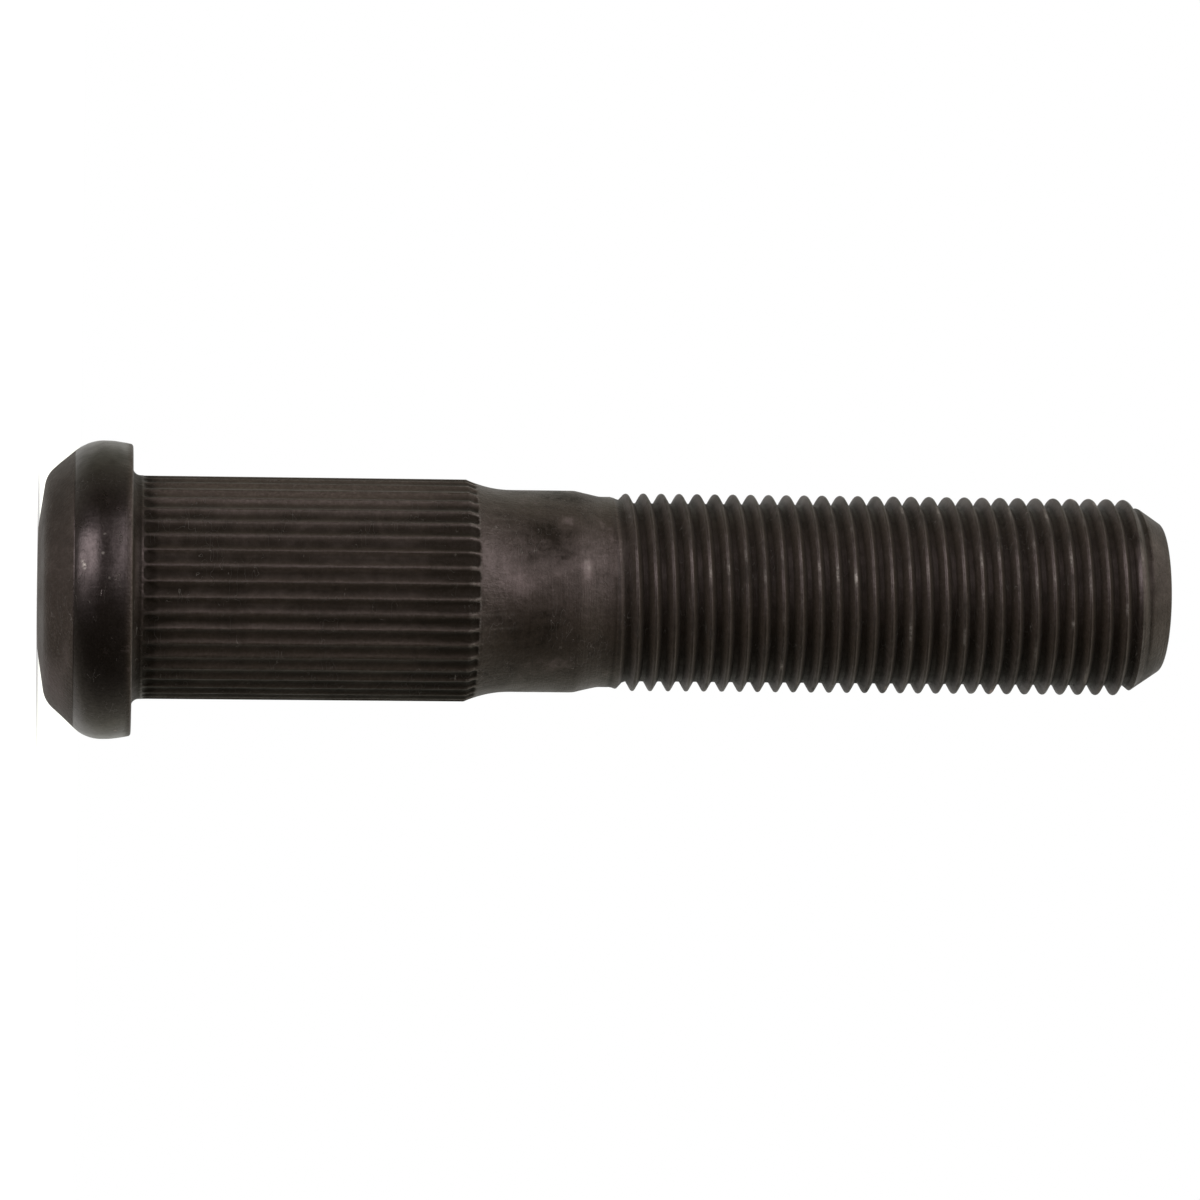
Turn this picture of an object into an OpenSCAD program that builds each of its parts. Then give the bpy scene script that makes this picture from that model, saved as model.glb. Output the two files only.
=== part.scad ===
// Wheel stud for a heavy hub: forged round head, straight knurl, plain neck and a rolled thread.
// It stands on the end face of its head. The shank's axis is Z, and the thread points up.
// All sizes are in millimetres.

/* [Head] */
// Diameter at the widest line of the head
head_d = 32.8; // [30:0.1:38]
// Height of the head, from its end face to the seat under it
head_h = 10.3; // [9.5:0.1:14]
// Diameter of the flat end face that the stud stands on
end_face_d = 13.4; // [10:0.1:18]
// Slope of the low crown round the end face
crown_angle = 8.5; // [4:0.5:12]
// Radius between the crown and the cone
shoulder_r = 3.2; // [1:0.1:3.8]
// Slope of the cone, measured like the crown's
cone_angle = 48.5; // [44:0.5:52]
// Radius of the barrel below its widest line, towards the end face
barrel_low_r = 4.6; // [4:0.1:6]
// Radius of the barrel above its widest line, towards the seat
barrel_high_r = 12.7; // [8:0.1:20]
// Distance from the widest line to the seat
widest_to_seat = 3.2; // [2:0.1:4.5]
// Small round on the edge of the seat
seat_edge_r = 0.35; // [0.1:0.05:0.8]
// Sideways offset of the head from the shank, left by the forging
head_offset = 0.33; // [0:0.01:0.6]
// Fillet between the seat and the shank
seat_fillet_r = 0.85; // [0.4:0.05:1.2]

/* [Knurl] */
// Diameter over the teeth
knurl_d = 24.6; // [23.6:0.1:27]
// Number of teeth round the shank
knurl_teeth = 44; // [36:1:46]
// Depth of the round grooves between the teeth
groove_depth = 0.3; // [0.15:0.05:0.35]
// Radius of a groove across its bottom
groove_r = 1.1; // [0.9:0.05:1.15]
// Angle of the first groove round the axis, from the +X side
first_groove = 0.9; // [0:0.1:10]
// Distance from the seat to the start of the grooves
groove_start = 1.1; // [0.9:0.05:3]
// Distance from the seat to where the teeth begin to fall to the neck
knurl_len = 36.6; // [20:0.1:60]
// Length of the hollow fall from the teeth to the neck
knurl_fall = 5; // [3:0.1:8]

/* [Neck] */
// Diameter of the plain neck
neck_d = 22.35; // [22.1:0.05:23]
// Length of the plain neck
neck_len = 7; // [3:0.5:30]

/* [Thread] */
// Outer diameter of the thread
thread_d = 21.93; // [21:0.01:22]
// Pitch of the thread, which is right-handed
thread_pitch = 2; // [1.5:0.25:2.5]
// Height of a crest above the thread's start, on the +X side
first_crest = 0.76; // [0:0.02:1.5]
// Length from the start of the thread to the tip
thread_len = 61.8; // [30:0.1:90]
// Diameter of the relief before the thread
relief_d = 21.1; // [20.6:0.05:21.4]
// Length of the relief, with its taper
relief_len = 4; // [3:0.1:8]
// Length of the taper from the neck to the relief
relief_taper = 2.8; // [1:0.1:2.8]
// Length over which the first turns grow to their full depth
run_out = 2; // [1:0.1:6]

/* [Tip] */
// Diameter of the flat tip
tip_d = 16.4; // [13:0.1:17]
// Slope of the lead-in, measured from the axis
tip_angle = 34; // [28:1:45]
// Round between the lead-in and the tip
tip_edge_r = 0.6; // [0.2:0.05:1]

/* [Hidden] */
$fn = 96;

// How far the shank reaches into the head
root_in_head = 2;
// How far the round ends reach into the threaded bar, and how much narrower than it they are
bar_lap = 0.1;
bar_step = 0.04;
// Straight pieces in each round of an outline
arc_steps = 8;
// Flats round one turn of the thread
turn_sides = 24;
// Form of a 60 degree metric thread: the height of its sharp triangle gives the depth
thread_depth = 5 / 8 * sqrt(3) / 2 * thread_pitch;
crest_w = thread_pitch / 8;
flank_w = thread_depth * tan(30);

// Heights along the axis, from the end face of the head
neck_start = head_h + knurl_len + knurl_fall;
relief_start = neck_start + neck_len;
thread_start = relief_start + relief_len;
tip_z = thread_start + thread_len;
root_r = thread_d / 2 - thread_depth;
lead_in_z = tip_z - (root_r - tip_d / 2) / tan(tip_angle);

// Points of an arc, from angle a to angle b
function arc(centre, r, a, b) = [
    for (i = [0 : arc_steps])
        let (t = a + (b - a) * i / arc_steps)
        [centre.x + r * cos(t), centre.y + r * sin(t)]
];

// Points of a round that replaces the corner between two straight lines
function corner_round(corner, r, dir_in, dir_out) =
    let (turn = dir_out - dir_in,
         back = r * tan(abs(turn) / 2),
         side = turn > 0 ? 1 : -1,
         start = corner - back * [cos(dir_in), sin(dir_in)],
         centre = start + side * r * [-sin(dir_in), cos(dir_in)])
    arc(centre, r, dir_in - side * 90, dir_out - side * 90);

// Outline of the head, as radius and height: end face, crown, cone, barrel and seat
module head_outline() {
    widest = [head_d / 2, head_h - widest_to_seat];
    low_centre = widest - [barrel_low_r, 0];
    low_angle = cone_angle - 90;
    cone_end = low_centre + barrel_low_r * [cos(low_angle), sin(low_angle)];
    // The cone runs back from the barrel to the crown's line
    crown_edge = [end_face_d / 2, 0];
    gap = cone_end - crown_edge;
    reach = (gap.x * sin(cone_angle) - gap.y * cos(cone_angle)) / sin(cone_angle - crown_angle);
    shoulder = crown_edge + reach * [cos(crown_angle), sin(crown_angle)];
    high_centre = widest - [barrel_high_r, 0];
    seat_angle = asin((widest_to_seat - seat_edge_r) / barrel_high_r);
    seat_side = high_centre + barrel_high_r * [cos(seat_angle), sin(seat_angle)];
    polygon(concat(
        [[0, 0], crown_edge],
        corner_round(shoulder, shoulder_r, crown_angle, cone_angle),
        arc(low_centre, barrel_low_r, low_angle, 0),
        arc(high_centre, barrel_high_r, seat_angle / arc_steps, seat_angle),
        arc(seat_side - [seat_edge_r, 0], seat_edge_r, 90 / arc_steps, 90),
        [[0, head_h]]
    ));
}

module head() {
    translate([head_offset, 0, 0])
        rotate_extrude()
            head_outline();
}

// Outline of the shank up to the thread, with the fillet under the head
module shank_outline() {
    knurl_r = knurl_d / 2;
    neck_r = neck_d / 2;
    fall_start = head_h + knurl_len;
    polygon(concat(
        [[0, head_h - root_in_head], [knurl_r + seat_fillet_r, head_h - root_in_head]],
        arc([knurl_r + seat_fillet_r, head_h + seat_fillet_r], seat_fillet_r, 270, 180),
        [
            for (i = [0 : arc_steps])
                [
                    neck_r + (knurl_r - neck_r) * pow(1 - i / arc_steps, 2),
                    fall_start + knurl_fall * i / arc_steps
                ]
        ],
        [
            [neck_r, relief_start],
            [relief_d / 2, relief_start + relief_taper],
            [relief_d / 2, thread_start + bar_lap],
            [0, thread_start + bar_lap]
        ]
    ));
}

// One round groove of the knurl, which runs out where the teeth fall to the neck
module groove() {
    translate([knurl_d / 2 - groove_depth + groove_r, 0, head_h + groove_start])
        cylinder(r = groove_r, h = knurl_len + knurl_fall - groove_start);
}

module knurled_shank() {
    difference() {
        rotate_extrude()
            shank_outline();
        for (i = [0 : knurl_teeth - 1])
            rotate(first_groove + 360 * i / knurl_teeth)
                groove();
    }
}

// The threaded bar is one skin of rows that climb with the thread, four rows to a pitch.
// Each row's height is held between the bar's two ends, where all rows meet.
bar_start_r = relief_d / 2 - bar_step;
rows = 4 * (ceil((lead_in_z - thread_start) / thread_pitch) + 4);

// Place of each row within a pitch: both edges of the crest, then both edges of the root
row_place = [-crest_w / 2, crest_w / 2, crest_w / 2 + flank_w, thread_pitch - crest_w / 2 - flank_w];

function row_z(side, row) =
    thread_start + first_crest
    + thread_pitch * (floor(row / 4) - 3 + side / turn_sides)
    + row_place[row % 4];

function held_z(z) = min(max(z, thread_start), lead_in_z);

function bar_r(row, z) =
    let (full = row % 4 < 2 ? thread_d / 2 : root_r,
         grown = min(1, (z - thread_start) / run_out),
         rolled = bar_start_r + (full - bar_start_r) * grown,
         lead_in = root_r + (lead_in_z - z) * tan(tip_angle))
    min(rolled, lead_in);

function bar_point(side, row) =
    let (z = held_z(row_z(side, row)),
         r = bar_r(row, z),
         t = 360 * side / turn_sides)
    [r * cos(t), r * sin(t), z];

// The lowest and the highest row that a side of the bar uses
function low_row(side) = max([for (row = [0 : rows - 1]) if (row_z(side, row) <= thread_start) row]);
function high_row(side) = min([for (row = [0 : rows - 1]) if (row_z(side, row) >= lead_in_z) row]);
low_rows = [for (side = [0 : turn_sides - 1]) low_row(side)];
high_rows = [for (side = [0 : turn_sides - 1]) high_row(side)];

// Number of a point in the list. One turn on, the same row is four rows higher.
function point_at(side, row) =
    let (turn = side == turn_sides ? 1 : 0,
         s = side - turn * turn_sides,
         r = min(max(row + 4 * turn, low_rows[s]), high_rows[s]))
    s * rows + r;

function whole(face) = face[0] != face[1] && face[1] != face[2] && face[2] != face[0];

module threaded_bar() {
    points = [
        for (side = [0 : turn_sides - 1])
            for (row = [0 : rows - 1])
                bar_point(side, row)
    ];
    skin = [
        for (side = [0 : turn_sides - 1])
            for (row = [-4 : rows - 2])
                let (a = point_at(side, row),
                     b = point_at(side + 1, row),
                     c = point_at(side + 1, row + 1),
                     d = point_at(side, row + 1))
                for (face = [[a, c, b], [a, d, c]])
                    if (whole(face)) face
    ];
    foot = [for (side = [0 : turn_sides - 1]) point_at(side, 0)];
    top = [for (side = [turn_sides - 1 : -1 : 0]) point_at(side, rows - 1)];
    polyhedron(points, concat(skin, [foot, top]), convexity = 10);
}

// The smooth end of the lead-in and the flat tip
module tip() {
    tip_r = tip_d / 2;
    base_r = root_r * cos(180 / turn_sides) - bar_step;
    cone_start = tip_z - (base_r - tip_r) / tan(tip_angle);
    rotate_extrude()
        polygon(concat(
            [[0, lead_in_z - bar_lap], [base_r, lead_in_z - bar_lap], [base_r, cone_start]],
            corner_round([tip_r, tip_z], tip_edge_r, 90 + tip_angle, 180),
            [[0, tip_z]]
        ));
}

module stud() {
    color("#2e2723") {
        head();
        knurled_shank();
        threaded_bar();
        tip();
    }
}

stud();
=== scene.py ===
import math

import bpy
import numpy as np
from mathutils import Matrix, Vector


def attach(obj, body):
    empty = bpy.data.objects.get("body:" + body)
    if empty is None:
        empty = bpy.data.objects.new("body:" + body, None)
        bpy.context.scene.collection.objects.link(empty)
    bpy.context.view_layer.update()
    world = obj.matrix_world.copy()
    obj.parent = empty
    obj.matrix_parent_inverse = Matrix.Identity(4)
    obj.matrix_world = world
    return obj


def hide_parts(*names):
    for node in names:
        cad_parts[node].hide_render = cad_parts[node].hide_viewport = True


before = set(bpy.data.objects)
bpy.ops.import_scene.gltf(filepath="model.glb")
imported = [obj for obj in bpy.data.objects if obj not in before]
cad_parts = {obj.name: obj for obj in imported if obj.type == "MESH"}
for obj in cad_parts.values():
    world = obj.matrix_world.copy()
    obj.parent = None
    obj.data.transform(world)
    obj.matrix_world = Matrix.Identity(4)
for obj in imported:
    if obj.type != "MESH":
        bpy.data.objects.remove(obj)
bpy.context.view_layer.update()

# Forged head
# A round head, cold forged in a die: a flat end face with a low crown, a cone and a barrel that
# the die has burnished. The forging left it a third of a millimetre off the shank's axis.
# Sizes here and below are in millimetres, with the shank's axis on Z.
HEAD_D = 32.8
HEAD_H = 10.3
END_FACE_D = 13.4
CROWN_ANGLE = math.radians(8.5)
SHOULDER_R = 3.2
CONE_ANGLE = math.radians(48.5)
BARREL_LOW_R = 4.6
BARREL_HIGH_R = 12.7
WIDEST_TO_SEAT = 3.2
SEAT_EDGE_R = 0.35
SEAT_FILLET_R = 0.85
HEAD_OFFSET = 0.33
HEAD_RIPPLE = 0.02
HEAD_COLUMNS = 176
KNURL_D = 24.6
TURN = 2 * math.pi
# A mark is its angle in degrees, its height, how far it reaches round the shank in degrees and
# along it, and its depth
HEAD_DENTS = [
    (-101, 7.7, 1.6, 0.5, 0.035), (-96, 5.2, 2.0, 0.4, 0.03), (-60, 9.6, 2.5, 0.5, 0.06),
    (20, 3.5, 3.0, 0.7, 0.08), (75, 8.8, 2.2, 0.6, 0.07), (140, 2.6, 3.0, 0.6, 0.08),
    (-150, 9.9, 2.2, 0.4, 0.07), (172, 6.0, 2.5, 0.6, 0.05), (-28, 2.2, 3.5, 0.5, 0.06),
]
# Stains are marks of the same kind: above 0 oil and dirt, below 0 where the coat is paler. Six of
# the head's marks are painted light and shade: those at -135, -30 and -60 degrees darken the top of
# the cone and lighten its lower edge, and those at -92, -148 and -150 degrees darken the barrel
# above and below its highlight.
HEAD_STAINS_AND_PAINTED_LIGHT = [
    (-135, 2.4, 42, 2.0, 0.55), (-30, 1.8, 26, 1.6, -1.0), (-60, 3.2, 12, 0.6, -0.4),
    (45, 2.0, 30, 1.8, 0.5), (110, 1.6, 25, 1.4, -0.7), (165, 2.6, 20, 1.6, 0.4),
    (-92, 5.2, 12, 1.4, 0.28), (-148, 5.4, 16, 1.5, 0.55), (-150, 8.0, 13, 2.0, 0.7),
    (20, 6.8, 20, 1.6, 0.4), (95, 7.4, 14, 1.3, 0.35), (-98, 2.6, 42, 1.4, 0.08),
]

# The stud is one forged and rolled bar, so its whole surface is one closed skin. It is made from
# rings of points, head first, and each later section adds its rings where the last one ended.
points = []
faces = []
finish = []


def add_points(rows, smooth, worn, stain_and_painted_light):
    """Adds points, given as rows of x, y, z, and returns their numbers. From 0 to 1, smooth says
    how far the dies polished the surface there, and worn how far its coat has been rubbed off.
    Stain is how far oil, dirt and painted shade darken it, and below 0 how far wiping and painted
    light make it paler."""
    first = sum(len(block) for block in points)
    points.append(rows)
    shares = [np.broadcast_to(share, len(rows)) for share in (smooth, worn, stain_and_painted_light)]
    finish.append(np.column_stack(shares))
    return np.arange(first, first + len(rows))


def ring(turn, r, z, centre=0.0):
    """Points of one ring: radius r and height z at each angle of turn."""
    x = centre + r * np.cos(turn)
    y = r * np.sin(turn)
    return np.column_stack([x, y, np.broadcast_to(z, turn.shape)])


def join(low, high):
    """Skin between two rings that start on the same side. Their counts may differ."""
    n, m = len(low), len(high)
    if n == m:
        after = np.roll(low, -1)
        over = np.roll(high, -1)
        faces.extend(zip(low.tolist(), after.tolist(), over.tolist(), high.tolist()))
        return
    i = j = 0
    while i < n or j < m:
        if j == m or (i < n and (i + 1) / n <= (j + 1) / m):
            faces.append((low[i], low[(i + 1) % n], high[j % m]))
            i += 1
        else:
            faces.append((low[i % n], high[(j + 1) % m], high[j]))
            j += 1


def ripple(turn, z, size, seed):
    """Slow unevenness of a forged face, at most about size high. It sums waves, each with whole
    periods round the shank and some to each millimetre along it."""
    waves = np.random.default_rng(seed)
    total = 0
    for around, along in ((2, 0.11), (3, 0.23), (5, 0.31), (8, 0.52), (13, 0.7)):
        phase = waves.uniform(0, TURN, 2)
        total = total + np.sin(around * turn + phase[0]) * np.sin(along * z * TURN + phase[1]) / 3
    return size * total


def dents(turn, z, marks):
    """How deep the marks dent the surface at each angle and height."""
    total = 0
    for at, height, around, along, depth in marks:
        away = (np.degrees(turn) - at + 180) % 360 - 180
        total = total + depth * np.exp(-(away / around) ** 2 - ((z - height) / along) ** 2)
    return total


def arc(cx, cz, r, start, end, steps):
    """Points of an arc as rows of radius and height."""
    t = np.linspace(start, end, steps)
    return np.column_stack([cx + r * np.cos(t), cz + r * np.sin(t)])


def at_angle(angle):
    """A step of one millimetre at an angle, as radius and height."""
    return np.array([math.cos(angle), math.sin(angle)])


widest = np.array([HEAD_D / 2, HEAD_H - WIDEST_TO_SEAT])
low_centre = widest - [BARREL_LOW_R, 0]
high_centre = widest - [BARREL_HIGH_R, 0]
low_angle = CONE_ANGLE - math.pi / 2
cone_end = low_centre + BARREL_LOW_R * at_angle(low_angle)
crown_edge = np.array([END_FACE_D / 2, 0])
# The cone runs back from the barrel to the crown's line
gap = cone_end - crown_edge
across = gap[0] * math.sin(CONE_ANGLE) - gap[1] * math.cos(CONE_ANGLE)
shoulder = crown_edge + across / math.sin(CONE_ANGLE - CROWN_ANGLE) * at_angle(CROWN_ANGLE)
back = SHOULDER_R * math.tan((CONE_ANGLE - CROWN_ANGLE) / 2)
round_start = shoulder - back * at_angle(CROWN_ANGLE)
round_centre = round_start + SHOULDER_R * at_angle(CROWN_ANGLE + math.pi / 2)
seat_angle = math.asin((WIDEST_TO_SEAT - SEAT_EDGE_R) / BARREL_HIGH_R)
seat_side = high_centre + BARREL_HIGH_R * at_angle(seat_angle)

head_line = np.vstack([
    [[r, 0] for r in (2.2, 4.4, 6.2)],
    [crown_edge],
    [crown_edge + (round_start - crown_edge) * t for t in (0.08, 0.36, 0.7)],
    arc(*round_centre, SHOULDER_R, CROWN_ANGLE - math.pi / 2, CONE_ANGLE - math.pi / 2, 9),
    [shoulder + (cone_end - shoulder) * t for t in (0.5, 0.75, 0.95)],
    arc(*low_centre, BARREL_LOW_R, low_angle, 0, 16),
    arc(*high_centre, BARREL_HIGH_R, 0.03, seat_angle, 9),
    arc(seat_side[0] - SEAT_EDGE_R, HEAD_H - SEAT_EDGE_R, SEAT_EDGE_R, 0.35, math.pi / 2, 5),
])
head_turn = np.linspace(0, TURN, HEAD_COLUMNS, endpoint=False)
head_centre = add_points(np.array([[HEAD_OFFSET / 2, 0, 0]]), 0, 0, 0)[0]
last = None
for r, z in head_line:
    # The end face is flat, and the forging grows uneven from there outwards
    uneven = ripple(head_turn, z, HEAD_RIPPLE, 5) * min(1, max(0, (r - 7) / 3))
    dented = dents(head_turn, z, HEAD_DENTS)
    # The cone was forged nearer to the shank's axis than the barrel
    centre = np.interp(z, (2.5, 5), (0.5, 1)) * HEAD_OFFSET
    # The die polished the barrel, up to the edge of the seat
    on_barrel = r > cone_end[0] - 0.01
    polish = np.interp(z, (9.5, 10.1), (1, 0.3)) if on_barrel else 0.1
    rows = ring(head_turn, r + uneven - dented, z, centre)
    here = add_points(rows, polish, 0, dents(head_turn, z, HEAD_STAINS_AND_PAINTED_LIGHT))
    if last is None:
        for a, b in zip(here, np.roll(here, -1)):
            faces.append((head_centre, b, a))
    else:
        join(last, here)
    last = here

# The fillet between the seat and the shank is darkened: painted shade in the crease.
fillet_centre = (KNURL_D / 2 + SEAT_FILLET_R, HEAD_H + SEAT_FILLET_R)
for r, z in arc(*fillet_centre, SEAT_FILLET_R, 1.5 * math.pi, math.pi, 7):
    here = add_points(ring(head_turn, r, z), 0.15, 0, 0.7)
    join(last, here)
    last = here

# Straight knurl
# 44 round grooves are rolled along the thick part of the shank. The narrow teeth between them
# bite into the hub. Each groove ends bluntly, just past where the shank starts to fall to the neck.
TEETH = 44
GROOVE_DEPTH = 0.3
GROOVE_R = 1.1
FIRST_GROOVE = math.radians(0.9)
# Distance from the seat to a groove, and the length in which it reaches its depth
GROOVE_START = 1.1
GROOVE_START_LEN = 0.6
KNURL_LEN = 36.6
KNURL_FALL = 5
# How far a groove runs past the start of the fall, and the length in which it ends there
GROOVE_PAST = 1.15
GROOVE_END_LEN = 0.45
# The tops of the teeth are rounded, not sharp
TOOTH_ROUND = 0.07
# Grooves differ in depth, and each is a little wavy along its length, with so many radians of the
# wave to a millimetre
GROOVE_SPREAD = 0.025
GROOVE_WAVE = 0.012
GROOVE_WAVE_RATE = 1.9
# Share of the points on the teeth that are nicked, and how deep
NICKED_SHARE = 0.03
TOOTH_NICK = 0.05
# Less than this deep, the surface passes from a groove to a tooth
EDGE_DEPTH = 0.1
NECK_D = 22.35
# Stains in the grooves. Below 0 are dry stretches, which hold less oil.
KNURL_STAINS = [
    (-152, 28, 15, 30, -0.75), (-50, 28, 18, 30, -0.25), (60, 24, 25, 12, -0.4),
    (140, 36, 20, 10, 0.3),
]
# Stains on the fall and on the plain neck above it. The paler marks at -105 and -88 degrees, on the
# taper, are a painted highlight.
NECK_STAINS_AND_PAINTED_HIGHLIGHT = [
    (-120, 56.3, 11.5, 2.0, 0.85), (-130, 54.6, 6, 1.0, 0.4), (-109, 54.8, 5, 1.6, 0.4),
    (-67, 53.8, 17, 2.8, 0.75), (-133, 57.4, 4, 0.8, -0.9), (-96, 52.0, 13, 1.5, -0.7),
    (-105, 59.7, 6, 0.5, -1.1), (-88, 59.6, 10, 0.8, -0.5), (-45, 57.0, 8, 2.4, -0.5),
    (-101, 56.6, 4, 0.9, -0.5), (10, 55.0, 14, 2.2, 0.6), (48, 57.5, 9, 1.4, -0.4),
    (85, 54.0, 16, 2.5, 0.7), (130, 56.5, 10, 1.8, 0.5), (165, 54.0, 9, 1.6, -0.4),
    (-165, 57.0, 12, 2.0, 0.6),
]

# Places across one tooth, from the middle of a groove, and how deep the groove is there
knurl_r = KNURL_D / 2
places = np.array([0, 0.12, 0.23, 0.33, 0.41, 0.46, 0.5, 0.54, 0.59, 0.67, 0.77, 0.88])
sideways = np.minimum(places, 1 - places) * TURN * knurl_r / TEETH
hollow = GROOVE_DEPTH - GROOVE_R + np.sqrt(GROOVE_R ** 2 - sideways ** 2)
depths = np.tile(TOOTH_ROUND * np.logaddexp(0, hollow / TOOTH_ROUND), TEETH)
tooth_places = np.concatenate([(tooth + places) / TEETH for tooth in range(TEETH)])
knurl_turn = FIRST_GROOVE + tooth_places * TURN

groove_z = HEAD_H + GROOVE_START
fall_z = HEAD_H + KNURL_LEN
neck_z = fall_z + KNURL_FALL
rows_z = np.concatenate([
    [groove_z + t for t in (0, 0.15, 0.35, 0.6, 1.0, 1.7)],
    np.linspace(groove_z + 3, fall_z - 0.6, 20),
    fall_z + np.linspace(-0.3, 1.5, 13),
    fall_z + KNURL_FALL * np.array([0.37, 0.45, 0.55, 0.66, 0.78, 0.9, 1]),
])
rng = np.random.default_rng(22)
rolled_deeper = np.repeat(rng.normal(0, GROOVE_SPREAD, TEETH), len(places))
on_tooth = np.clip((EDGE_DEPTH - depths) / EDGE_DEPTH, 0, 1)
for z in rows_z:
    start = np.clip((z - groove_z) / GROOVE_START_LEN, 0, 1)
    end = np.clip((fall_z + GROOVE_PAST - z) / GROOVE_END_LEN, 0, 1)
    left = np.clip((neck_z - z) / KNURL_FALL, 0, 1)
    envelope = NECK_D / 2 + (knurl_r - NECK_D / 2) * left ** 2
    phase = np.repeat(rng.uniform(0, TURN, TEETH), len(places))
    wave = GROOVE_WAVE * np.sin(GROOVE_WAVE_RATE * z + phase)
    depth = (depths + (rolled_deeper + wave) * (1 - on_tooth)) * start * end
    r = envelope - np.maximum(depth, 0)
    in_groove = np.clip((envelope - r) / EDGE_DEPTH, 0, 1)
    nicked = rng.uniform(0, 1, len(knurl_turn)) < NICKED_SHARE
    r = r - TOOTH_NICK * on_tooth * nicked * (z < fall_z)
    # The teeth are rubbed a little, and more so the edges of the grooves where they end
    groove_edge = 4 * in_groove * (1 - in_groove)
    worn = 0.05 * on_tooth + (0.22 * groove_edge if z > fall_z - 0.2 else 0)
    # Grooves are darker where deep and at their two ends: painted shade in the hollows, and oil.
    at_ends = np.interp(z, (groove_z, groove_z + 1.7, fall_z - 7, fall_z - 1), (0.9, 0, 0, 0.28))
    inside = 0.3 + at_ends + 0.55 * depths / GROOVE_DEPTH + dents(knurl_turn, z, KNURL_STAINS)
    outside = dents(knurl_turn, z, NECK_STAINS_AND_PAINTED_HIGHLIGHT) if z > fall_z else 0.2
    stain_and_painted_light = inside * in_groove + outside * (1 - in_groove)
    here = add_points(ring(knurl_turn, r, z), 0.42 - 0.34 * in_groove, worn, stain_and_painted_light)
    join(last, here)
    last = here

# Plain neck and relief
# Between knurl and thread the bar is plain, as drawn, and tapers to the diameter that the thread
# is rolled from. It carries the marks of handling, stains and a few dents, and a painted highlight
# on the taper.
NECK_LEN = 7
RELIEF_D = 21.1
RELIEF_LEN = 4
RELIEF_TAPER = 2.8
NECK_RIPPLE = 0.008
THREAD_COLUMNS = 126
NECK_DENTS = [
    (-112, 53.6, 4, 0.5, 0.05), (-95, 58.2, 5, 0.4, 0.04), (-75, 55.3, 3, 0.7, 0.03),
    (-8, 56.0, 5, 0.8, 0.05), (60, 54.0, 4, 0.6, 0.06), (120, 57.4, 6, 0.5, 0.05),
    (-170, 55.0, 4, 0.7, 0.05),
]
# Steps along the taper and how far it has fallen there, both as shares. Its two ends are rounded.
TAPER_STEPS = [
    (-0.08, 0), (0.02, 0.025), (0.12, 0.1), (0.3, 0.29), (0.5, 0.5),
    (0.7, 0.7), (0.9, 0.9), (1.0, 0.98), (1.1, 1),
]

thread_turn = np.linspace(0, TURN, THREAD_COLUMNS, endpoint=False)
relief_z = neck_z + NECK_LEN
thread_z = relief_z + RELIEF_LEN
neck_line = [[NECK_D / 2, neck_z + t] for t in (0.4, 1.2, 2, 2.8, 3.6, 4.4, 5.2, 6, 6.7)]
fall = (NECK_D - RELIEF_D) / 2
taper_line = [[NECK_D / 2 - fall * s, relief_z + RELIEF_TAPER * t] for t, s in TAPER_STEPS]
for r, z in neck_line + taper_line + [[RELIEF_D / 2, thread_z - 0.5]]:
    uneven = ripple(thread_turn, z, NECK_RIPPLE, 8) - dents(thread_turn, z, NECK_DENTS)
    stain_and_painted_light = dents(thread_turn, z, NECK_STAINS_AND_PAINTED_HIGHLIGHT)
    here = add_points(ring(thread_turn, r + uneven, z), 0.4, 0, stain_and_painted_light)
    join(last, here)
    last = here

# Rolled thread
# The dies roll a right-hand M22x2 thread: rounded crests, 60 degree flanks and round roots. The
# rows of points climb with the helix, and each is held between the two ends of the thread.
THREAD_D = 21.93
PITCH = 2.0
FIRST_CREST = 0.76
THREAD_LEN = 61.8
RUN_OUT = 2
# Depth of a 60 degree metric thread
THREAD_DEPTH = 5 / 8 * math.sqrt(3) / 2 * PITCH
TIP_D = 16.4
TIP_ANGLE = math.radians(34)
# Places along one pitch from the middle of a crest, and how deep the thread is there
ROW_PLACES = np.array([
    0, 0.075, 0.14, 0.22, 0.6775, 0.733, 0.8085, 0.894, 1.106, 1.1915, 1.267, 1.3225,
    1.78, 1.86, 1.925,
])
ROW_DEPTHS = np.array([
    0, 0.012, 0.05, 0.165, 0.9575, 1.024, 1.067, 1.0825, 1.0825, 1.067, 1.024, 0.9575,
    0.165, 0.05, 0.012,
])
# The last crests run out over the lead-in as rounded humps
HUMP_ROUND = 0.08
# The clearest knocks on the crests, as marks. The others are random.
CLEAR_KNOCKS = [
    (-109.8, 119.1, 7, 0.35, 0.06), (-83, 119.2, 4, 0.35, 0.05), (-108, 121.0, 10, 0.35, 0.04),
    (-12, 105.6, 5, 0.5, 0.16),
]
RANDOM_KNOCKS = 70
KNOCK_WIDTH = 0.35
# Less than this deep, the surface belongs to a crest
CREST_DEPTH = 0.1

root_r = THREAD_D / 2 - THREAD_DEPTH
tip_z = thread_z + THREAD_LEN
lead_in_z = tip_z - (root_r - TIP_D / 2) / math.tan(TIP_ANGLE)
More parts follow.
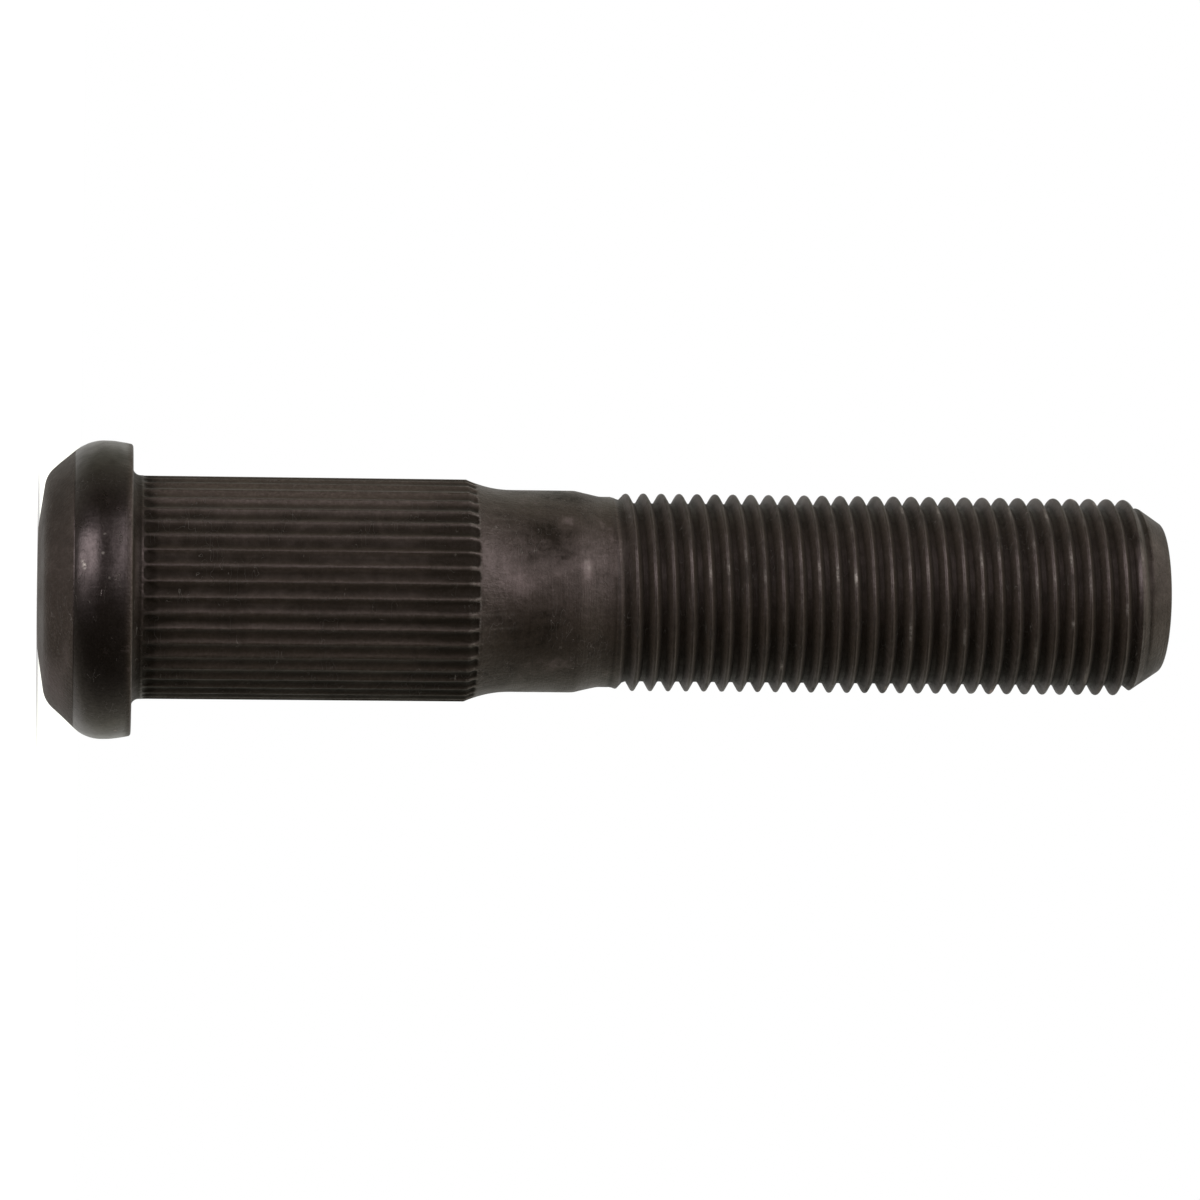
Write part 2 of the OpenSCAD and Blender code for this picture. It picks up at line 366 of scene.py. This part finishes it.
# There are spare turns below and above, and their rows meet at the ends of the thread
rows_each = len(ROW_PLACES)
turns = math.ceil((lead_in_z - thread_z) / PITCH) + 4
row_count = turns * rows_each
side = np.arange(THREAD_COLUMNS)
row_turn = np.repeat(np.arange(turns) - 3, rows_each)[None, :] + side[:, None] / THREAD_COLUMNS
row_z = thread_z + FIRST_CREST + PITCH * row_turn + np.tile(ROW_PLACES, turns)[None, :]
low_row = (row_z <= thread_z).sum(axis=1) - 1
high_row = row_count - (row_z >= lead_in_z).sum(axis=1)
held_z = np.clip(row_z, thread_z, lead_in_z)
row_depth = np.tile(ROW_DEPTHS, turns)
grown = np.clip((held_z - thread_z) / RUN_OUT, 0, 1)
bar_r = RELIEF_D / 2 + (THREAD_D / 2 - row_depth - RELIEF_D / 2) * grown
past_lead_in = bar_r - root_r - (lead_in_z - held_z) * math.tan(TIP_ANGLE)
over = past_lead_in / HUMP_ROUND
bar_r = np.where(held_z > thread_z + RUN_OUT, bar_r - HUMP_ROUND * np.logaddexp(0, over), bar_r)
hump = np.exp(-over ** 2 / 2) * (row_depth < 0.6)


def crest_z(at, turns_up):
    """Height of the crest at an angle in degrees, some whole turns above its first one."""
    return thread_z + FIRST_CREST + PITCH * (turns_up + at % 360 / 360)


knocks = list(CLEAR_KNOCKS)
for _ in range(RANDOM_KNOCKS):
    at = rng.uniform(-180, 180)
    z = crest_z(at, rng.integers(2, 28))
    knocks.append((at, z, rng.uniform(1.5, 7), KNOCK_WIDTH, rng.uniform(0.01, 0.06)))
# A row of small ones also runs up the front, with one on each turn
for turns_up in range(3, 27):
    at = rng.uniform(-113, -95)
    z = crest_z(at, turns_up)
    knocks.append((at, z, rng.uniform(2, 6), KNOCK_WIDTH, rng.uniform(0, 0.04)))
at_crest = np.clip((CREST_DEPTH - row_depth) / CREST_DEPTH, 0, 1)
knocked = dents(thread_turn[:, None], held_z, knocks) * at_crest
bar_r = bar_r - knocked

# Crests are polished and the humps more so. Knocks bare them, and crests hold oil. The deeper the
# surface lies, the darker it is: painted shade in the roots and the low flanks.
polished = 0.3 + 0.28 * at_crest + 0.45 * hump
rubbed = 0.03 * at_crest + np.minimum(0.9, 16 * knocked)
oiled_and_shaded = 0.7 * row_depth / THREAD_DEPTH + 0.3 * at_crest
grid = np.full((THREAD_COLUMNS, row_count), -1)
rows = []
row_finish = []
for column, turn in enumerate(thread_turn):
    low, high = low_row[column], high_row[column]
    used = np.arange(low, high + 1)
    grid[column, used] = len(rows) + used - low
    grid[column, :low] = grid[column, low]
    grid[column, high:] = grid[column, high]
    for row in used:
        r = bar_r[column, row]
        rows.append((r * math.cos(turn), r * math.sin(turn), held_z[column, row]))
        row_finish.append((polished[column, row], rubbed[column, row], oiled_and_shaded[row]))
numbers = add_points(np.array(rows), *np.array(row_finish).T)
grid = grid + numbers[0]
join(last, grid[:, 0])

# The last column meets the first one a whole pitch higher
for column in range(THREAD_COLUMNS):
    closing = column + 1 == THREAD_COLUMNS
    for row in range(-rows_each if closing else 0, row_count - 1):
        a = grid[column, max(row, 0)]
        d = grid[column, max(row + 1, 0)]
        if closing:
            b = grid[0, min(row + rows_each, row_count - 1)]
            c = grid[0, min(row + 1 + rows_each, row_count - 1)]
        else:
            b = grid[column + 1, row]
            c = grid[column + 1, row + 1]
        face = []
        for corner in (a, b, c, d):
            if corner not in face:
                face.append(corner)
        if len(face) > 2:
            faces.append(tuple(face))
last = grid[:, -1]

# Tip
# The bar's end is turned to a smooth lead-in that guides the nut, with a rounded rim and a plain
# flat face.
TIP_EDGE_R = 0.6
TIP_STAINS = [
    (-92, 122.2, 13, 1.1, 0.15), (-62, 123.2, 10, 0.8, -0.1), (-128, 123.0, 12, 0.9, -0.3),
    (-30, 122.6, 14, 1.2, 0.3), (40, 122.8, 22, 1.1, -0.5), (100, 122.4, 16, 1.2, 0.4),
    (160, 123.2, 15, 0.9, -0.4),
]

rim_back = TIP_EDGE_R * math.tan((math.pi / 2 - TIP_ANGLE) / 2)
slope = at_angle(TIP_ANGLE + math.pi / 2)
rim_start = np.array([TIP_D / 2, tip_z]) - rim_back * slope
rim_centre = rim_start - TIP_EDGE_R * at_angle(TIP_ANGLE)
lead_start = np.array([root_r, lead_in_z])
tip_line = np.vstack([
    [lead_start + (rim_start - lead_start) * t for t in (0.15, 0.4, 0.7, 0.92)],
    arc(*rim_centre, TIP_EDGE_R, TIP_ANGLE, math.pi / 2, 8),
    [[r, tip_z] for r in (6.6, 5, 3.2, 1.4)],
])
for r, z in tip_line:
    stain_and_painted_light = 0.3 + dents(thread_turn, z, TIP_STAINS)
    here = add_points(ring(thread_turn, r, z), 0.3, 0, stain_and_painted_light)
    join(last, here)
    last = here
tip_centre = add_points(np.array([[0, 0, tip_z]]), 0, 0, 0)[0]
for a, b in zip(last, np.roll(last, -1)):
    faces.append((a, b, tip_centre))

# The skin is complete here and becomes the stud's one piece
skin = bpy.data.meshes.new("stud_skin")
corners = [tuple(int(i) for i in face) for face in faces]
skin.from_pydata((np.vstack(points) / 1000).tolist(), [], corners)
skin.update()
skin.polygons.foreach_set("use_smooth", np.ones(len(skin.polygons), bool))
for column, name in enumerate(("smooth", "worn", "stain_and_painted_light")):
    attribute = skin.attributes.new(name, "FLOAT", "POINT")
    attribute.data.foreach_set("value", np.vstack(finish)[:, column].astype(np.float32))
stud = bpy.data.objects.new("wheel_stud", skin)
bpy.context.scene.collection.objects.link(stud)
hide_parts("stud")
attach(stud, "root")

# Phosphated steel
# Forged steel with a brown-black phosphate coat that holds oil. The coat is dark, with a soft
# satin gloss, and the die and the rolls have smoothed it where they pressed hardest.
COAT_MATTE = "#21190d"
COAT_PRESSED = "#090502"
COAT_DUST = "#4a3f33"
# Paler coat of the wiped patches, also used for painted light at the cone's lower edge and on the
# taper
COAT_WIPED_AND_LIT = "#5c5050"
# Dark colour of oil, also used for painted shade in the hollows, the fillet and at the front of the
# head
OIL_AND_SHADE = "#0f0a03"
BARE_STEEL = "#8f8783"
# The crystals of the coat are about 0.01 mm. They are drawn at 0.35 mm, so that they show.
CRYSTAL_SIZE = 0.35
# Oil and handling leave blotches in the coat, and between these two sizes it is spotted
BLOTCH_SIZE = 5
SPOT_SIZE = 1.2
# The dies leave fine lines 0.2 to 0.3 mm apart: along the knurl, and round the neck and the thread.
# Each row of numbers says how often they change in a millimetre of X, Y and Z.
LINES_ALONG = [3.3, 3.3, 0.2]
LINES_ROUND = [0.2, 0.2, 5]
# Hairline scratches from other studs in the box lie askew. Each is the narrow band where a stretched
# noise passes through its middle, about 0.06 mm wide, so that it shows.
SCRATCH_ANGLES = [0.5, 1.1, 0.4]
SCRATCH_STRETCH = [0.16, 1.4, 1.4]
SCRATCH_BAND = 0.006
# Small nicks shine where the photographed stud has them. A nick is its angle, its distance from the
# axis of the head or the shank, its height, its size and how bare it is.
NICKS_AND_PAINTED_HIGHLIGHT = [
    (-99.7, 15.91, 5.05, 0.32, 0.9), (-101.0, 15.88, 4.9, 0.25, 0.6), (-98.2, 15.95, 5.15, 0.2, 0.5),
    (-103.9, 16.4, 7.07, 0.24, 0.5), (-111.4, 16.4, 7.27, 0.2, 0.4), (-94.5, 16.37, 7.8, 0.14, 0.3),
    # These two, on the taper, are not nicks but a painted highlight, drawn as bare metal
    (-103.5, 10.92, 59.75, 0.5, 0.3), (-107.0, 10.97, 59.5, 0.4, 0.2),
    (-107.8, 12.25, 45.1, 0.25, 0.5), (-111.0, 12.2, 48.0, 0.3, 0.5),
    (-100.5, 12.2, 48.1, 0.25, 0.5), (-45.2, 10.6, 81.4, 0.15, 0.5),
    (-46.4, 10.6, 99.5, 0.15, 0.5), (62, 16.4, 6.2, 0.3, 0.7), (118, 12.3, 31.0, 0.3, 0.5),
    (150, 10.9, 85.0, 0.3, 0.6), (30, 10.9, 103.0, 0.3, 0.6), (-20, 16.3, 8.6, 0.25, 0.6),
]
# Settings of the nodes that do sums, and of those that mix colours
ADD = {"operation": "ADD"}
SUBTRACT = {"operation": "SUBTRACT"}
MULTIPLY = {"operation": "MULTIPLY"}
MAXIMUM = {"operation": "MAXIMUM"}
ABSOLUTE = {"operation": "ABSOLUTE"}
COLOURS = {"data_type": "RGBA"}


def linear(code):
    """A linear colour from sRGB hex."""
    parts = [int(code[i:i + 2], 16) / 255 for i in (1, 3, 5)]
    return [p / 12.92 if p <= 0.04045 else ((p + 0.055) / 1.055) ** 2.4 for p in parts] + [1]


def add_node(tree, kind, settings=None, **links):
    """Adds a node with its settings. Each link is a value, another node's output, or a node, which
    stands for its first output. A link's name is the input's, or i and the input's number."""
    node = tree.nodes.new("ShaderNode" + kind)
    for name, value in (settings or {}).items():
        setattr(node, name, value)
    for name, value in links.items():
        key = int(name[1:]) if name[0] == "i" and name[1:].isdigit() else name.replace("_", " ")
        socket = node.inputs[key]
        if isinstance(value, bpy.types.Node):
            value = value.outputs[0]
        if isinstance(value, bpy.types.NodeSocket):
            tree.links.new(value, socket)
        else:
            socket.default_value = value
    return node


steel = bpy.data.materials.new("phosphated_steel")
steel.use_nodes = True
tree = steel.node_tree
tree.nodes.clear()
smooth = add_node(tree, "Attribute", {"attribute_name": "smooth"}).outputs["Fac"]
worn = add_node(tree, "Attribute", {"attribute_name": "worn"}).outputs["Fac"]
stain_and_painted_light = add_node(tree, "Attribute", {"attribute_name": "stain_and_painted_light"}).outputs["Fac"]
place = add_node(tree, "TexCoord").outputs["Object"]
mm = add_node(tree, "VectorMath", {"operation": "SCALE"}, i0=place, Scale=1000)
height = add_node(tree, "SeparateXYZ", Vector=mm).outputs["Z"]

crystals = add_node(
    tree, "TexNoise", Vector=mm, Scale=1 / CRYSTAL_SIZE, Detail=3, Roughness=0.65
)
blotches = add_node(
    tree, "TexNoise", Vector=mm, Scale=1 / BLOTCH_SIZE, Detail=5, Roughness=0.62, Distortion=0.5
)
spots = add_node(tree, "TexNoise", Vector=mm, Scale=1 / SPOT_SIZE, Detail=3, Roughness=0.6)

# The lines turn from along to round where the knurl ends
past_knurl = add_node(tree, "MapRange", Value=height, From_Min=neck_z - 2, From_Max=neck_z)
drawn = []
for often in (LINES_ALONG, LINES_ROUND):
    stretched = add_node(tree, "VectorMath", MULTIPLY, i0=mm, i1=often)
    drawn.append(
        add_node(tree, "TexNoise", Vector=stretched, Scale=1, Detail=2, Roughness=0.5)
    )
lines = add_node(tree, "Mix", Factor=past_knurl, i2=drawn[0], i3=drawn[1])

# Scratches lie only in some of the blotches
skew = add_node(tree, "Mapping", Vector=mm, Rotation=SCRATCH_ANGLES, Scale=SCRATCH_STRETCH)
hairs = add_node(tree, "TexNoise", Vector=skew, Scale=1, Detail=1, Roughness=0.4)
off_middle = add_node(tree, "Math", SUBTRACT, i0=hairs, i1=0.5)
from_middle = add_node(tree, "Math", ABSOLUTE, i0=off_middle)
scratch = add_node(
    tree, "MapRange", Value=from_middle, From_Min=0, From_Max=SCRATCH_BAND, To_Min=1, To_Max=0
)
in_some = add_node(
    tree, "MapRange", Value=blotches, From_Min=0.52, From_Max=0.6, To_Min=0, To_Max=1
)
scratched = add_node(tree, "Math", MULTIPLY, i0=scratch, i1=in_some)

# The crystals make the nicks and the painted highlight on the taper ragged
ragged = add_node(
    tree, "MapRange", Value=crystals, From_Min=0.3, From_Max=0.7, To_Min=-0.12, To_Max=0.12
)
nick_and_highlight_share = None
for at, r, z, size, share in NICKS_AND_PAINTED_HIGHLIGHT:
    centre = HEAD_OFFSET if z < HEAD_H else 0
    spot = [centre + r * math.cos(math.radians(at)), r * math.sin(math.radians(at)), z]
    away = add_node(tree, "VectorMath", {"operation": "DISTANCE"}, i0=mm, i1=spot)
    rim = add_node(tree, "Math", ADD, i0=away.outputs["Value"], i1=ragged)
    mark = add_node(
        tree, "MapRange", Value=rim, From_Min=0, From_Max=size, To_Min=share, To_Max=0
    )
    if nick_and_highlight_share is not None:
        mark = add_node(tree, "Math", MAXIMUM, i0=mark, i1=nick_and_highlight_share)
    nick_and_highlight_share = mark

# Bare metal shows in patches of the worn edges, in the nicks, in the painted highlight on the taper
# and faintly in the scratches
fine_patches = add_node(
    tree, "MapRange", Value=crystals, From_Min=0.4, From_Max=0.6, To_Min=0.2, To_Max=0.8
)
wide_patches = add_node(
    tree, "MapRange", Value=blotches, From_Min=0.4, From_Max=0.62, To_Min=0.1, To_Max=2.0
)
patches = add_node(tree, "Math", MULTIPLY, i0=fine_patches, i1=wide_patches)
worn_bare = add_node(tree, "Math", MULTIPLY, i0=patches, i1=worn)
faint_scratch = add_node(tree, "Math", MULTIPLY, i0=scratched, i1=0.35)
worn_or_scratched = add_node(tree, "Math", MAXIMUM, i0=worn_bare, i1=faint_scratch)
bare = add_node(tree, "Math", MAXIMUM, i0=worn_or_scratched, i1=nick_and_highlight_share)

# The blotches, the crystals and the spots break up the edges of the stains and of the painted light
# and shade, less so where the coat was hardly touched or was pressed hardest
drift = add_node(
    tree, "MapRange", Value=blotches, From_Min=0.3, From_Max=0.7, To_Min=-0.45, To_Max=0.45
)
speckle = add_node(
    tree, "MapRange", Value=crystals, From_Min=0.3, From_Max=0.7, To_Min=-0.3, To_Max=0.3
)
mottle = add_node(
    tree, "MapRange", Value=spots, From_Min=0.3, From_Max=0.7, To_Min=-0.3, To_Max=0.3
)
drift_and_speckle = add_node(tree, "Math", ADD, i0=drift, i1=speckle)
all_drift = add_node(tree, "Math", ADD, i0=drift_and_speckle, i1=mottle)
touched = add_node(tree, "MapRange", Value=smooth, From_Min=0.3, From_Max=0.4, To_Min=0.3)
not_pressed = add_node(
    tree, "MapRange", Value=smooth, From_Min=0.5, From_Max=1, To_Min=1, To_Max=0.45
)
drift_share = add_node(tree, "Math", MULTIPLY, i0=touched, i1=not_pressed)
broken_up = add_node(tree, "Math", MULTIPLY, i0=all_drift, i1=drift_share)
stained_and_shaded = add_node(tree, "Math", ADD, i0=stain_and_painted_light, i1=broken_up)
dark = add_node(tree, "MapRange", Value=stained_and_shaded, From_Min=0.1, From_Max=0.9)
pale = add_node(tree, "MapRange", Value=stained_and_shaded, From_Min=-0.2, From_Max=-1.0, To_Max=0.55)

# Colour: the pressed barrel is near black, the matte coat browner, with paler dust in it
coat = add_node(
    tree, "Mix", COLOURS, Factor=smooth, i6=linear(COAT_MATTE), i7=linear(COAT_PRESSED)
).outputs[2]
dust = add_node(
    tree, "MapRange", Value=crystals, From_Min=0.5, From_Max=0.8, To_Min=0, To_Max=0.5
)
matte = add_node(tree, "MapRange", Value=smooth, From_Max=0.6, To_Min=0.6, To_Max=0)
dust_share = add_node(tree, "Math", MULTIPLY, i0=dust, i1=matte)
dusty = add_node(
    tree, "Mix", COLOURS, Factor=dust_share, i6=coat, i7=linear(COAT_DUST)
).outputs[2]
# Oil and dirt, and the painted shade, darken it towards the oil colour; wiped patches and painted
# light make it paler
oily_and_shaded = add_node(tree, "Mix", COLOURS, Factor=dark, i6=dusty, i7=linear(OIL_AND_SHADE)).outputs[2]
wiped_and_lit = add_node(tree, "Mix", COLOURS, Factor=pale, i6=oily_and_shaded, i7=linear(COAT_WIPED_AND_LIT)).outputs[2]
colour = add_node(tree, "Mix", COLOURS, Factor=bare, i6=wiped_and_lit, i7=linear(BARE_STEEL)).outputs[2]

# Gloss: the matte coat scatters, and what the dies pressed smooth shines softly
pressed_gloss = add_node(tree, "MapRange", Value=smooth, To_Min=0.66, To_Max=0.33)
gloss_drift = add_node(
    tree, "MapRange", Value=blotches, From_Min=0.3, From_Max=0.7, To_Min=-0.07, To_Max=0.07
)
clean_gloss = add_node(tree, "Math", ADD, i0=pressed_gloss, i1=gloss_drift)
dull = add_node(tree, "Math", MULTIPLY, i0=dark, i1=0.06)
roughness = add_node(tree, "Math", ADD, i0=clean_gloss, i1=dull)
# Dirt and the painted shade in the hollows swallow most of the shine, and the crystals make it
# sparkle
dirt_and_shade_shine = add_node(tree, "MapRange", Value=dark, To_Min=0.5, To_Max=0.12)
sparkle = add_node(
    tree, "MapRange", Value=crystals, From_Min=0.3, From_Max=0.7, To_Min=0.7, To_Max=1.3
)
shine = add_node(tree, "Math", MULTIPLY, i0=dirt_and_shade_shine, i1=sparkle)

# Relief: crystals and lines stand a few hundredths of a millimetre high, less so where pressed
line_height = add_node(tree, "Math", MULTIPLY, i0=lines, i1=0.7)
rough_height = add_node(tree, "Math", ADD, i0=crystals, i1=line_height)
calm = add_node(tree, "MapRange", Value=smooth, From_Min=0.3, To_Min=1, To_Max=0.18)
pressed_height = add_node(tree, "Math", MULTIPLY, i0=rough_height, i1=calm)
whole_height = add_node(tree, "Math", SUBTRACT, i0=pressed_height, i1=scratched)
relief = add_node(tree, "Bump", Strength=1.0, Distance=0.00007, Height=whole_height)

shader = add_node(
    tree, "BsdfPrincipled", Base_Color=colour, Roughness=roughness, Metallic=bare, IOR=1.6,
    Specular_IOR_Level=shine, Specular_Tint=[1, 0.8, 0.81, 1], Normal=relief,
    Sheen_Weight=0.03, Sheen_Roughness=0.5,
)
add_node(tree, "OutputMaterial", Surface=shader)
skin.materials.append(steel)

# Studio
# The stud stands on a pale floor, which keeps its shadow. One soft box stands in front above the
# floor and one below it, which shines through the floor. The backdrop behind is white.
FLOOR_HALF = 1.5
FLOOR_GLOW = 0.6
floor_corners = [
    (x * FLOOR_HALF, y * FLOOR_HALF, 0) for x, y in ((-1, -1), (1, -1), (1, 1), (-1, 1))
]
floor_mesh = bpy.data.meshes.new("floor")
floor_mesh.from_pydata(floor_corners, [], [(0, 1, 2, 3)])
floor = bpy.data.objects.new("floor", floor_mesh)
bpy.context.scene.collection.objects.link(floor)
floor.visible_glossy = False
floor.visible_shadow = False
floor_paint = bpy.data.materials.new("floor_paint")
floor_paint.use_nodes = True
tree = floor_paint.node_tree
tree.nodes.clear()
floor_ray = add_node(tree, "LightPath")
paint = add_node(tree, "BsdfDiffuse", Color=linear("#e8e8e8"))
glow = add_node(
    tree, "Emission", Color=[FLOOR_GLOW] * 3 + [1], Strength=floor_ray.outputs["Is Camera Ray"]
)
lit_paint = add_node(tree, "AddShader", i0=paint, i1=glow)
add_node(tree, "OutputMaterial", Surface=lit_paint)
floor_mesh.materials.append(floor_paint)

# The room is bright behind the stud and overhead
EASED = {"interpolation_type": "SMOOTHSTEP"}
world = bpy.data.worlds.new("studio")
world.use_nodes = True
bpy.context.scene.world = world
tree = world.node_tree
tree.nodes.clear()
direction = add_node(tree, "TexCoord").outputs["Generated"]
axes = add_node(tree, "SeparateXYZ", Vector=direction)
behind = add_node(
    tree, "MapRange", EASED,
    Value=axes.outputs["Y"], From_Min=-0.4, From_Max=0.75, To_Min=0.02, To_Max=0.58,
)
above = add_node(
    tree, "MapRange", EASED,
    Value=axes.outputs["Z"], From_Min=0.5, From_Max=0.9, To_Min=0, To_Max=0.9,
)
room = add_node(tree, "Math", ADD, i0=behind, i1=above)
around = add_node(tree, "Background", Color=[0.98, 1, 0.82, 1], Strength=room)

# The camera sees plain white, and reflections see some of it, only behind the stud
ray = add_node(tree, "LightPath")
mirrored = add_node(
    tree, "Math", ADD, i0=ray.outputs["Is Glossy Ray"], i1=ray.outputs["Is Transmission Ray"]
)
upward = add_node(tree, "Math", ABSOLUTE, i0=axes.outputs["Z"])
some_upward = add_node(tree, "Math", MULTIPLY, i0=upward, i1=0.5)
backward = add_node(
    tree, "Math", {"operation": "MULTIPLY_ADD"}, i0=axes.outputs["Y"], i1=0.85, i2=some_upward
)
far_side = add_node(
    tree, "MapRange", EASED, Value=backward, From_Min=0.55, From_Max=0.92, To_Max=0.7
)
mirrored_share = add_node(tree, "Math", MULTIPLY, i0=mirrored, i1=far_side)
white_share = add_node(
    tree, "Math", MAXIMUM, i0=mirrored_share, i1=ray.outputs["Is Camera Ray"]
)
backdrop = add_node(tree, "Background", Color=[1, 1, 1, 1])
sky = add_node(tree, "MixShader", i0=white_share, i1=around, i2=backdrop)
add_node(tree, "OutputWorld", Surface=sky)


def soft_box(name, turn, lift, size, level):
    """A soft box a metre from the stud. It stands turn degrees to the side of the camera's
    direction and lift degrees above the floor, and a white card there would show that level."""
    light = bpy.data.lights.new(name, "AREA")
    light.shape = "RECTANGLE"
    light.size, light.size_y = size
    light.energy = level * math.pi * size[0] * size[1]
    lamp = bpy.data.objects.new(name, light)
    bpy.context.scene.collection.objects.link(lamp)
    turn, lift = math.radians(turn), math.radians(lift)
    flat = math.cos(lift)
    aim = Vector((-math.sin(turn) * flat, -math.cos(turn) * flat, math.sin(lift)))
    lamp.location = Vector((0, 0, 0.03)) + aim
    lamp.rotation_mode = "QUATERNION"
    lamp.rotation_quaternion = aim.to_track_quat("Z", "Y")


soft_box("key_head", 30, -38, (0.56, 0.95), 4.7)
soft_box("key_tip", 35, 38, (0.85, 0.85), 3.4)

# Camera
# It looks across the stud from beside its head, turned so that the thread points to the right.
LENS = 162
SENSOR = 36
DISTANCE = 0.5985
AIM = Vector((0.00090, 0, 0.062))
PAN = math.radians(5.35)
ROLL = math.radians(0.59)
forward = Vector((0, math.cos(PAN), math.sin(PAN)))
level_right = Vector((0, -math.sin(PAN), math.cos(PAN)))
level_up = Vector((-1, 0, 0))
right = level_right * math.cos(ROLL) + level_up * math.sin(ROLL)
up = level_up * math.cos(ROLL) - level_right * math.sin(ROLL)
camera_data = bpy.data.cameras.new("camera")
camera_data.lens = LENS
camera_data.sensor_width = SENSOR
camera_data.clip_start = 0.01
camera = bpy.data.objects.new("camera", camera_data)
bpy.context.scene.collection.objects.link(camera)
camera_axes = Matrix([right, up, -forward]).transposed().to_4x4()
camera.matrix_world = Matrix.Translation(AIM - forward * DISTANCE) @ camera_axes
bpy.context.scene.camera = camera
bpy.context.scene.view_settings.view_transform = "Standard"
